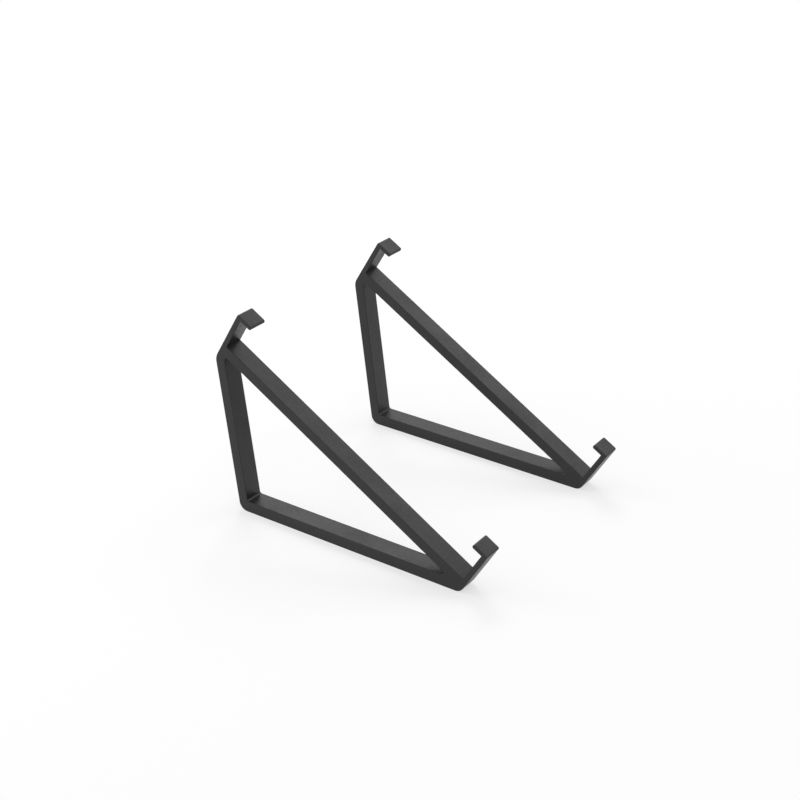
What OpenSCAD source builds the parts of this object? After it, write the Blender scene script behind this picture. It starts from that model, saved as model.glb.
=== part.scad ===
// Pair of hooked slope brackets. Each is a flat triangular frame that stands on its base bar, and a
// panel lies on the sloping rails of the two, held between a hook at the top and a hook at the toe.
// Millimetres, +Z up. +X runs from the tall back to the toe, and +Y from the left bracket to the right
// one, as seen by someone who faces the slope. The origin is on the ground, in the middle of the pair.

/* [Panel] */
// Length of the slope between the two hook arms, measured on the rail
clear_len = 260; // [180:1:400]
// Height of a hook's throat, from the rail to the underside of the lip
throat_h = 30; // [12:0.5:50]
// Angle of the slope to the ground
slope = 30.8; // [22:0.1:42]

/* [Frame] */
// Width of every member, across the bracket
bar_w = 17.2; // [10:0.1:40]
// Thickness of the sloping rail
rail_t = 9; // [6:0.1:14]
// Thickness of the upright
upright_t = 9; // [6:0.1:14]
// Thickness of the base bar
base_t = 10; // [6:0.1:14]
// Angle by which the upright leans back from the vertical
upright_lean = 7.6; // [0:0.1:15]
// Solid depth of the apex, from the upper arm's outer face to the window, along the rail
apex_web = 5.6; // [4:0.1:10]
// Solid length of the toe, from the window's tip to the lower arm's inner face, along the ground
toe_web = 12.4; // [8:0.1:16]

/* [Hooks] */
// Thickness of the arms that stand on the rail
arm_t = 4.6; // [2.4:0.1:6]
// Thickness of the lips that turn in over the panel
lip_t = 3.6; // [2.4:0.1:6]
// Angle by which each arm leans in over the panel
hook_lean = 0; // [0:0.1:5]
// Length of the upper lip's underside, from the arm to the nose
upper_reach = 11; // [6:0.1:20]
// Length of the lower lip's underside, from the arm to the nose
lower_reach = 9.8; // [6:0.1:20]

/* [Corners] */
// Radius of the outer corner between the base bar and the upright
heel_r = 8; // [1:0.1:12]
// Radius of the outer corner under the toe
toe_r = 8; // [1:0.1:12]
// Radius of the outer corner where the upright's back turns into the upper arm
apex_r = 12; // [1:0.1:20]
// Radius of the three corners of the triangular window
window_r = 1.8; // [0.5:0.1:5]
// Radius of the outer corner between a hook's arm and its lip
elbow_r = 1.4; // [0.3:0.1:3]
// Flat left in the middle of a lip's rounded nose
nose_flat = 0.5; // [0.2:0.1:1.5]

/* [Pair] */
// Distance between the middles of the two brackets
spacing = 187; // [60:1:500]

/* [Hidden] */
// Largest turn between two facets of a rounded corner, in degrees
arc_step = 4;
// Which end of the rail a hook is at
UPPER = -1;
LOWER = 1;

function unit(v) = v / norm(v);
function cross2(u, v) = u.x * v.y - u.y * v.x;
// Where the line through p along u meets the line through q along v
function meet(p, u, q, v) = p + u * cross2(q - p, v) / cross2(u, v);
function half_angle(p, before, after) = acos(unit(before - p) * unit(after - p)) / 2;
function short_turn(a) = a > 180 ? a - 360 : (a < -180 ? a + 360 : a);

// Centre of the round that a corner p gets, between its neighbours in the outline
function round_centre(p, before, after, r) =
    p + unit(unit(before - p) + unit(after - p)) * r / sin(half_angle(p, before, after));

// The points of one corner: the corner itself, or an arc tangent to both of its sides
function corner(p, before, after, r) = r == 0 ? [p] :
    let (
        centre = round_centre(p, before, after, r),
        run = r / tan(half_angle(p, before, after)),
        from = p + unit(before - p) * run - centre,
        to = p + unit(after - p) * run - centre,
        start = atan2(from.y, from.x),
        turn = short_turn(atan2(to.y, to.x) - start),
        steps = ceil(abs(turn) / arc_step)
    )
    [for (i = [0:steps]) centre + r * [cos(start + turn * i / steps), sin(start + turn * i / steps)]];

// A closed outline from a list of [corner, radius]
function rounded(list) = [
    for (i = [0:len(list) - 1])
        each corner(
            list[i][0],
            list[(i + len(list) - 1) % len(list)][0],
            list[(i + 1) % len(list)][0],
            list[i][1]
        )
];

// Directions in the bracket's own plane, with x along the ground and y up
level = [1, 0];
down_slope = [cos(slope), -sin(slope)];
off_slope = [sin(slope), cos(slope)];
up_back = [-sin(upright_lean), cos(upright_lean)];

// Places along the rail are counted from its tip, where the rail's top meets the upright's back
tip_angle = 90 - slope - upright_lean;
window_s = upright_t / sin(tip_angle) + rail_t / tan(tip_angle);
arm_run = arm_t / cos(hook_lean);
upper_s = window_s - apex_web + arm_run;
lower_s = upper_s + clear_len;
toe_h = base_t + rail_t / cos(slope) - toe_web * tan(slope);
tip_h = toe_h + lower_s * sin(slope);
tip = [-tip_h * tan(upright_lean), tip_h];

// A point s down the rail from its tip and h off the rail's top
function at(s, h) = tip + s * down_slope + h * off_slope;

// Sides of the hooks
function crease_s(end) = end == UPPER ? upper_s : lower_s;
function lip_reach(end) = end == UPPER ? upper_reach : lower_reach;
// A point d outwards from the arm's inner face, and h off the rail's top
function on_arm(end, d, h) = at(crease_s(end) + end * (d - h * tan(hook_lean)), h);
function arm_dir(end) = unit(on_arm(end, 0, 1) - on_arm(end, 0, 0));
// The corner between the rail's top and an arm, and a point level with it outside the arm
function crease(end) = on_arm(end, 0, 0);
function arm_foot(end) = on_arm(end, 2 * arm_run, 0);
function elbow_in(end) = on_arm(end, 0, throat_h);
function elbow_out(end) = on_arm(end, arm_run, throat_h + lip_t);
// A point on the elbow's mitre, which is 0 at its inner corner and 1 at its outer corner
function elbow_mitre(end, k) = elbow_in(end) + (elbow_out(end) - elbow_in(end)) * k;
function nose_s(end) = crease_s(end) - end * (throat_h * tan(hook_lean) + lip_reach(end));
nose_r = (lip_t - nose_flat) / 2;

// Outer corners of the frame, as if they were sharp
heel = [0, 0];
toe = meet(heel, level, on_arm(LOWER, arm_run, 0), arm_dir(LOWER));
apex = meet(heel, up_back, on_arm(UPPER, arm_run, 0), arm_dir(UPPER));

// Corners of the window inside the triangle
window_heel = meet([upright_t / cos(upright_lean), 0], up_back, [0, base_t], level);
window_top = at(window_s, -rail_t);
window_toe = meet(at(0, -rail_t), down_slope, [0, base_t], level);

outline = [
    [heel, heel_r],
    [toe, toe_r],
    [elbow_out(LOWER), elbow_r],
    [at(nose_s(LOWER), throat_h + lip_t), nose_r],
    [at(nose_s(LOWER), throat_h), nose_r],
    [elbow_in(LOWER), 0],
    [crease(LOWER), 0],
    [crease(UPPER), 0],
    [elbow_in(UPPER), 0],
    [at(nose_s(UPPER), throat_h), nose_r],
    [at(nose_s(UPPER), throat_h + lip_t), nose_r],
    [elbow_out(UPPER), elbow_r],
    [apex, apex_r]
];
window = [[window_heel, window_r], [window_top, window_r], [window_toe, window_r]];

// The three mitres of the frame run outwards from the window's middle through its corners
side_heel = norm(window_top - window_toe);
side_top = norm(window_heel - window_toe);
side_toe = norm(window_heel - window_top);
window_mid = (side_heel * window_heel + side_top * window_top + side_toe * window_toe)
    / (side_heel + side_top + side_toe);
far = 3 * clear_len;
function mitre_end(p) = window_mid + unit(p - window_mid) * far;

// The middle of the bracket's length, from the apex's round to the lower elbow's round
back_x = round_centre(apex, elbow_out(UPPER), heel, apex_r).x - apex_r;
front_x = round_centre(elbow_out(LOWER), toe, at(nose_s(LOWER), throat_h + lip_t), elbow_r).x + elbow_r;
mid_x = (back_x + front_x) / 2;

// The whole bracket seen from its side
module profile() {
    difference() {
        polygon(rounded(outline));
        polygon(rounded(window));
    }
}

// A member: what the profile has inside a zone, at the bracket's full width
module member(zone) {
    color("#2a2b2c") rotate([90, 0, 0]) linear_extrude(height = bar_w, center = true)
        intersection() {
            profile();
            polygon(zone);
        }
}

// The bar that lies on the ground, mitred to the upright and to the rail's toe
module base_bar() {
    member([window_mid, mitre_end(window_heel), mitre_end(window_toe)]);
}

// The bar that leans back and carries the apex
module upright() {
    member([window_mid, mitre_end(window_top), mitre_end(window_heel)]);
}

// The sloping bar that the panel lies on, cut level with its top where the two arms stand on it
module rail() {
    over_rail = at((upper_s + lower_s) / 2, throat_h / 2);
    member([
        window_mid,
        mitre_end(window_toe),
        arm_foot(LOWER),
        crease(LOWER),
        over_rail,
        crease(UPPER),
        arm_foot(UPPER),
        mitre_end(window_top)
    ]);
}

// The strip that stands on one end of the rail, square to the panel
module arm(end) {
    member([arm_foot(end), crease(end), elbow_mitre(end, -1), elbow_mitre(end, 2)]);
}

// The strip that turns in over the panel's edge
module lip(end) {
    past_nose = nose_s(end) - end * lip_t;
    above = at(past_nose, throat_h + 2 * lip_t);
    below = at(past_nose, throat_h - lip_t);
    member([elbow_mitre(end, -1), elbow_mitre(end, 2), above, below]);
}

module on_left() {
    translate([-mid_x, -spacing / 2, 0]) children();
}

module on_right() {
    translate([-mid_x, spacing / 2, 0]) children();
}

on_left() base_bar();  // left_base_bar
on_left() upright();  // left_upright
on_left() rail();  // left_rail
on_left() arm(UPPER);  // left_upper_arm
on_left() lip(UPPER);  // left_upper_lip
on_left() arm(LOWER);  // left_lower_arm
on_left() lip(LOWER);  // left_lower_lip
on_right() base_bar();  // right_base_bar
on_right() upright();  // right_upright
on_right() rail();  // right_rail
on_right() arm(UPPER);  // right_upper_arm
on_right() lip(UPPER);  // right_upper_lip
on_right() arm(LOWER);  // right_lower_arm
on_right() lip(LOWER);  // right_lower_lip
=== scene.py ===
import math

import bmesh
import bpy
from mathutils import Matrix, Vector
from mathutils.bvhtree import BVHTree


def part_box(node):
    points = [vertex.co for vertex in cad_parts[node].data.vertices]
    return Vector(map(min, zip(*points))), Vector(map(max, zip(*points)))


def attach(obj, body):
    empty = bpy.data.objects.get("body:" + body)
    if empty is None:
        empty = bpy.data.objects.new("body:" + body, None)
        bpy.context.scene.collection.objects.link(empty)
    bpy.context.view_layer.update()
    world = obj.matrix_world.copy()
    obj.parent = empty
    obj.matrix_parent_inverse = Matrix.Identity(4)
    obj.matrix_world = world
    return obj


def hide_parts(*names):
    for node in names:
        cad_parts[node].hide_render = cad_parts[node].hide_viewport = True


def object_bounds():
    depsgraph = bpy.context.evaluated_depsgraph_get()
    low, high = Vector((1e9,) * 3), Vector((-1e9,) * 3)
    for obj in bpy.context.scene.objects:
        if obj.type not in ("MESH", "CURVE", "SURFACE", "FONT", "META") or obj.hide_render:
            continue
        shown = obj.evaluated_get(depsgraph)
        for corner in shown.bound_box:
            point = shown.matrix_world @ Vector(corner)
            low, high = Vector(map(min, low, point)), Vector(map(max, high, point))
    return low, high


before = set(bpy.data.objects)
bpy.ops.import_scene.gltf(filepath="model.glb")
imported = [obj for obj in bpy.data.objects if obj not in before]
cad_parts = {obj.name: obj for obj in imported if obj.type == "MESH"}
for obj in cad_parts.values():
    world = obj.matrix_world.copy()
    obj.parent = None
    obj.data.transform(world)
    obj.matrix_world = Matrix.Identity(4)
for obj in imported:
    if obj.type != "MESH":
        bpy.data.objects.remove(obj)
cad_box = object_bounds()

# Camera
# It stands in front of the slope and to the left of the pair, and looks down on both brackets with
# a long lens, so that they keep nearly the same size.
look_down = math.radians(26.922)
look_round = math.radians(34.687)
camera_data = bpy.data.cameras.new("camera")
camera_data.sensor_width = 36
camera_data.lens = 68.82
camera = bpy.data.objects.new("camera", camera_data)
camera.location = (0.61710, -0.92160, 0.65364)
camera.rotation_euler = (math.radians(90) - look_down, 0, look_round)
bpy.context.scene.collection.objects.link(camera)
bpy.context.scene.camera = camera

# Base bars
# The straight bars that lie on the ground and carry the rest. Each bracket is a single moulding of
# black ABS, so a bar has no fastener or seam: its skin runs on into the upright and into the toe.
# The tool leaves all the long rims with a small round, and sharp creases where members meet.
MM = 0.001
SIDES = ("left", "right")
MEMBERS = ("base_bar", "upright", "rail", "upper_arm", "upper_lip", "lower_arm", "lower_lip")
RIM_ROUND = 0.5 * MM
RIM_FACETS = 3
SAME_PLACE = 0.01 * MM  # two members' faces this near to each other touch
SAME_POINT = 0.001 * MM
ON_PLANE = 0.0001 * MM
SAME_WAY = math.radians(0.5)
OPPOSITE = -0.999  # cosine between the normals of two faces that meet flat on each other
SIDEWAYS = 0.9  # cosine that tells a bracket's two flat sides from the faces round its rims
CREASE = math.radians(35)


def linear(code):
    """An sRGB hex colour as the linear one that a shader takes."""
    channels = [int(code[i:i + 2], 16) / 255 for i in (1, 3, 5)]
    return [c / 12.92 if c <= 0.04045 else ((c + 0.055) / 1.055) ** 2.4 for c in channels] + [1]


def add_node(tree, kind, settings, inputs):
    """Add a node with its settings, and link or set its inputs."""
    node = tree.nodes.new(kind)
    for name, value in settings.items():
        setattr(node, name, value)
    for name, value in inputs.items():
        if isinstance(value, bpy.types.NodeSocket):
            tree.links.new(value, node.inputs[name])
        else:
            node.inputs[name].default_value = value
    return node


# Carbon-black ABS, moulded in a tool with a fine spark-eroded grain. It is nearly black under an
# even satin skin, so a face is only as grey as the white room that it mirrors. The grain, and the
# way the melt flowed, leave that skin a little glossier in some places than in others.
GRAIN = 1.6 * MM  # the real grain is about 0.15 mm, which is too fine to show
GRAIN_DEPTH = 0.12 * MM
FLOW = 28 * MM  # melt flow leaves broad patches that are a shade lighter or darker
FLOW_SHARE = 0.5  # how much of the change in gloss comes from the flow, and not from the grain
NOISE_LOW, NOISE_HIGH = 0.35, 0.65  # nearly all of a noise lies between these
DARKEST, PALEST = "#151515", "#1d1d1d"
GLOSSIEST, DULLEST = 0.29, 0.52  # roughness
ABS_IOR = 1.53
SHEEN = 0.38  # a little under the usual 0.5, because the real grain swallows some of the gloss
black_abs = bpy.data.materials.new("black_moulded_abs")
black_abs.use_nodes = True
tree = black_abs.node_tree
tree.nodes.clear()
place = add_node(tree, "ShaderNodeTexCoord", {}, {}).outputs["Object"]
grain = add_node(tree, "ShaderNodeTexNoise", {}, {
    "Vector": place, "Scale": 1 / GRAIN, "Detail": 2.0, "Roughness": 0.6})
flow = add_node(tree, "ShaderNodeTexNoise", {}, {
    "Vector": place, "Scale": 1 / FLOW, "Detail": 2.0, "Roughness": 0.5})
tone = add_node(tree, "ShaderNodeMapRange", {}, {
    "Value": flow.outputs["Fac"], "From Min": NOISE_LOW, "From Max": NOISE_HIGH})
colour = add_node(tree, "ShaderNodeMix", {"data_type": "RGBA"}, {
    "Factor": tone.outputs["Result"], "A": linear(DARKEST), "B": linear(PALEST)})
mottle = add_node(tree, "ShaderNodeMix", {"data_type": "FLOAT"}, {
    "Factor": FLOW_SHARE, "A": grain.outputs["Fac"], "B": flow.outputs["Fac"]})
satin = add_node(tree, "ShaderNodeMapRange", {}, {
    "Value": mottle.outputs["Result"], "From Min": NOISE_LOW, "From Max": NOISE_HIGH,
    "To Min": GLOSSIEST, "To Max": DULLEST})
bump = add_node(tree, "ShaderNodeBump", {}, {
    "Height": grain.outputs["Fac"], "Strength": 1.0, "Distance": GRAIN_DEPTH})
skin_shader = add_node(tree, "ShaderNodeBsdfPrincipled", {}, {
    "Base Color": colour.outputs["Result"], "Roughness": satin.outputs["Result"],
    "IOR": ABS_IOR, "Specular IOR Level": SHEEN, "Normal": bump.outputs["Normal"]})
add_node(tree, "ShaderNodeOutputMaterial", {}, {"Surface": skin_shader.outputs["BSDF"]})


def moulding(side):
    """One bracket's whole skin with rounded rims, and the planes where its members meet."""
    solids = {}
    for name in MEMBERS:
        solids[name] = bmesh.new()
        solids[name].from_mesh(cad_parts[f"{side}_{name}"].data)
        bmesh.ops.remove_doubles(solids[name], verts=solids[name].verts, dist=SAME_POINT)
    surfaces = {name: BVHTree.FromBMesh(solid) for name, solid in solids.items()}
    skin = bmesh.new()
    planes = {name: [] for name in MEMBERS}
    for name, solid in solids.items():
        inner = []
        for face in solid.faces:
            middle = face.calc_center_median()
            for other in MEMBERS:
                found, facing, _, _ = surfaces[other].find_nearest(middle, SAME_PLACE)
                if other != name and found is not None and facing.dot(face.normal) < OPPOSITE:
                    inner.append(face)
                    planes[name].append((middle.copy(), face.normal.copy()))
                    break
        bmesh.ops.delete(solid, geom=inner, context="FACES")
        shell = bpy.data.meshes.new("shell")
        solid.to_mesh(shell)
        skin.from_mesh(shell)
        bpy.data.meshes.remove(shell)
        solid.free()
    bmesh.ops.remove_doubles(skin, verts=skin.verts, dist=SAME_PLACE)
    bmesh.ops.dissolve_limit(skin, angle_limit=SAME_WAY, verts=skin.verts, edges=skin.edges)
    rims = [edge for edge in skin.edges
            if sum(abs(face.normal.y) > SIDEWAYS for face in edge.link_faces) == 1]
    bmesh.ops.bevel(skin, geom=rims, affect="EDGES", offset=RIM_ROUND, offset_type="OFFSET",
                    segments=RIM_FACETS, profile=0.5, material=-1, clamp_overlap=False)
    return skin, planes


mouldings = {side: moulding(side) for side in SIDES}


def make_member(side, name):
    """The stretch of a bracket's skin that is one member, closed where it meets the others."""
    skin, planes = mouldings[side]
    shape = skin.copy()
    for point, outward in planes[name]:
        bmesh.ops.bisect_plane(shape, geom=shape.verts[:] + shape.edges[:] + shape.faces[:],
                               dist=ON_PLANE, plane_co=point, plane_no=outward,
                               clear_outer=True)
    low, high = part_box(f"{side}_{name}")
    elsewhere = [vert for vert in shape.verts if any(
        not low[i] - SAME_PLACE <= vert.co[i] <= high[i] + SAME_PLACE for i in range(3))]
    bmesh.ops.delete(shape, geom=elsewhere, context="VERTS")
    bmesh.ops.holes_fill(shape, edges=[edge for edge in shape.edges if edge.is_boundary], sides=0)
    loose = [edge for edge in shape.edges if not edge.link_faces]
    bmesh.ops.delete(shape, geom=loose, context="EDGES")
    bmesh.ops.recalc_face_normals(shape, faces=shape.faces)
    for face in shape.faces:
        face.smooth = True
    for edge in shape.edges:
        edge.smooth = edge.calc_face_angle() < CREASE
    mesh = bpy.data.meshes.new(f"{side}_{name}_moulded")
    shape.to_mesh(mesh)
    shape.free()
    mesh.materials.append(black_abs)
    piece = bpy.data.objects.new(mesh.name, mesh)
    bpy.context.scene.collection.objects.link(piece)
    flat_shading = piece.modifiers.new("flat_shading", "WEIGHTED_NORMAL")
    flat_shading.keep_sharp = True
    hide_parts(f"{side}_{name}")
    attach(piece, f"{side}_bracket")


for side in SIDES:
    make_member(side, "base_bar")

# Uprights
# The bars that lean back a little from the base bars' rear ends and hold up the top of the slope.
# They are of one piece with the base bar and the rail, with a large round at the heel.
for side in SIDES:
    make_member(side, "upright")

# Rails
# The sloping bars that the panel lies on, from the top of the upright down to the toe. The toe is
# left solid below the rail, where the panel's weight comes down.
for side in SIDES:
    make_member(side, "rail")

# Upper arms
# Thin strips that stand square on the top ends of the rails, behind the panel's upper edge. They
# carry on the line of the moulding over the apex without a step.
for side in SIDES:
    make_member(side, "upper_arm")

# Upper lips
# Short strips that turn in from the ends of the upper arms and hold the panel's upper edge down.
# Their noses are rounded so that the panel slips under them.
for side in SIDES:
    make_member(side, "upper_lip")

# Lower arms
# The same strips at the foot of the slope. They stop the panel from sliding off the rails.
for side in SIDES:
    make_member(side, "lower_arm")

# Lower lips
# The lips of the lower hooks, a little shorter than the upper ones, with the same rounded nose.
# The panel's lower edge is set under them first.
for side in SIDES:
    make_member(side, "lower_lip")

# Floor
# A sheet of matt white paper that reaches far past every view. What sees or mirrors it also gets an
# even white mixed in, which leaves the brackets' soft shadow under them and takes over away from
# them, so that the paper runs on into the tent with no horizon.
PAPER, WHITE = "#f2f2f2", "#ffffff"
FLOOR_REACH = 60.0  # metres to each side
FLOOR_DROP = 0.02 * MM  # clears the undersides, which would else lie in the same plane
GLOW_SHARE = 0.5
GLOW = 1.2  # makes up for the paper's share, so that the open floor comes out just white
SHADOWS_FADE_FROM = 0.45  # metres from the middle of the pair
SHADOWS_FADE_TO = 1.6
sheet = bmesh.new()
bmesh.ops.create_grid(sheet, x_segments=1, y_segments=1, size=FLOOR_REACH)
bmesh.ops.translate(sheet, verts=sheet.verts, vec=(0, 0, cad_box[0][2] - FLOOR_DROP))
floor_mesh = bpy.data.meshes.new("floor")
sheet.to_mesh(floor_mesh)
sheet.free()
floor = bpy.data.objects.new("floor", floor_mesh)
bpy.context.scene.collection.objects.link(floor)


def seen_or_mirrored(tree):
    """1 where a surface is seen, mirrored or looked through at, and 0 where it only gives light."""
    ray = add_node(tree, "ShaderNodeLightPath", {}, {})
    seen = add_node(tree, "ShaderNodeMath", {"operation": "ADD"}, {
        0: ray.outputs["Is Camera Ray"], 1: ray.outputs["Is Glossy Ray"]})
    seen = add_node(tree, "ShaderNodeMath", {"operation": "ADD", "use_clamp": True}, {
        0: seen.outputs["Value"], 1: ray.outputs["Is Transmission Ray"]})
    return seen.outputs["Value"]


white_paper = bpy.data.materials.new("white_paper")
white_paper.use_nodes = True
tree = white_paper.node_tree
tree.nodes.clear()
place = add_node(tree, "ShaderNodeTexCoord", {}, {}).outputs["Object"]
distance = add_node(tree, "ShaderNodeVectorMath", {"operation": "LENGTH"}, {0: place})
evenness = add_node(tree, "ShaderNodeMapRange", {}, {
    "Value": distance.outputs["Value"], "From Min": SHADOWS_FADE_FROM,
    "From Max": SHADOWS_FADE_TO, "To Min": GLOW_SHARE, "To Max": 1.0})
share = add_node(tree, "ShaderNodeMath", {"operation": "MULTIPLY"}, {
    0: seen_or_mirrored(tree), 1: evenness.outputs["Result"]})
glow_strength = add_node(tree, "ShaderNodeMapRange", {}, {
    "Value": distance.outputs["Value"], "From Min": SHADOWS_FADE_FROM,
    "From Max": SHADOWS_FADE_TO, "To Min": GLOW, "To Max": 1.0})
paper = add_node(tree, "ShaderNodeBsdfDiffuse", {}, {"Color": linear(PAPER)})
glow = add_node(tree, "ShaderNodeEmission", {}, {
    "Color": linear(WHITE), "Strength": glow_strength.outputs["Result"]})
mixed = add_node(tree, "ShaderNodeMixShader", {}, {
    0: share.outputs["Value"], 1: paper.outputs["BSDF"], 2: glow.outputs["Emission"]})
add_node(tree, "ShaderNodeOutputMaterial", {}, {"Surface": mixed.outputs["Shader"]})
floor_mesh.materials.append(white_paper)

# Lights
# Two soft lamps 4 m away shape the object, one from behind on the left and one over the slope, and
# a weak one near the left side fills the outer faces. The room around them is a plain white tent.
# Each line gives a lamp's name, its place and its width in metres, and its power in watts.
LAMPS = (
    ("key_lamp", (-1.65, 1.97, 3.06), 1.6, 30),
    ("slope_lamp", (0.77, 2.87, 2.68), 2.0, 13.5),
    ("side_lamp", (-1.20, -0.50, 0.40), 0.8, 4),
)
for name, spot, width, power in LAMPS:
    lamp_data = bpy.data.lights.new(name, "AREA")
    lamp_data.shape = "SQUARE"
    lamp_data.size = width
    lamp_data.energy = power
    lamp = bpy.data.objects.new(name, lamp_data)
    lamp.location = spot
    lamp.rotation_euler = (-Vector(spot)).to_track_quat("-Z", "Y").to_euler()
    bpy.context.scene.collection.objects.link(lamp)

tent = bpy.data.worlds.new("white_tent")
bpy.context.scene.world = tent
tent.use_nodes = True
tree = tent.node_tree
tree.nodes.clear()
TENT_LIGHT = 0.65  # what the tent lights the object with, next to the 1 that it shows as
brightness = add_node(tree, "ShaderNodeMapRange", {}, {
    "Value": seen_or_mirrored(tree), "To Min": TENT_LIGHT, "To Max": 1.0})
air = add_node(tree, "ShaderNodeBackground", {}, {
    "Color": linear(WHITE), "Strength": brightness.outputs["Result"]})
add_node(tree, "ShaderNodeOutputWorld", {}, {"Surface": air.outputs["Background"]})
bpy.context.scene.view_settings.view_transform = "Standard"
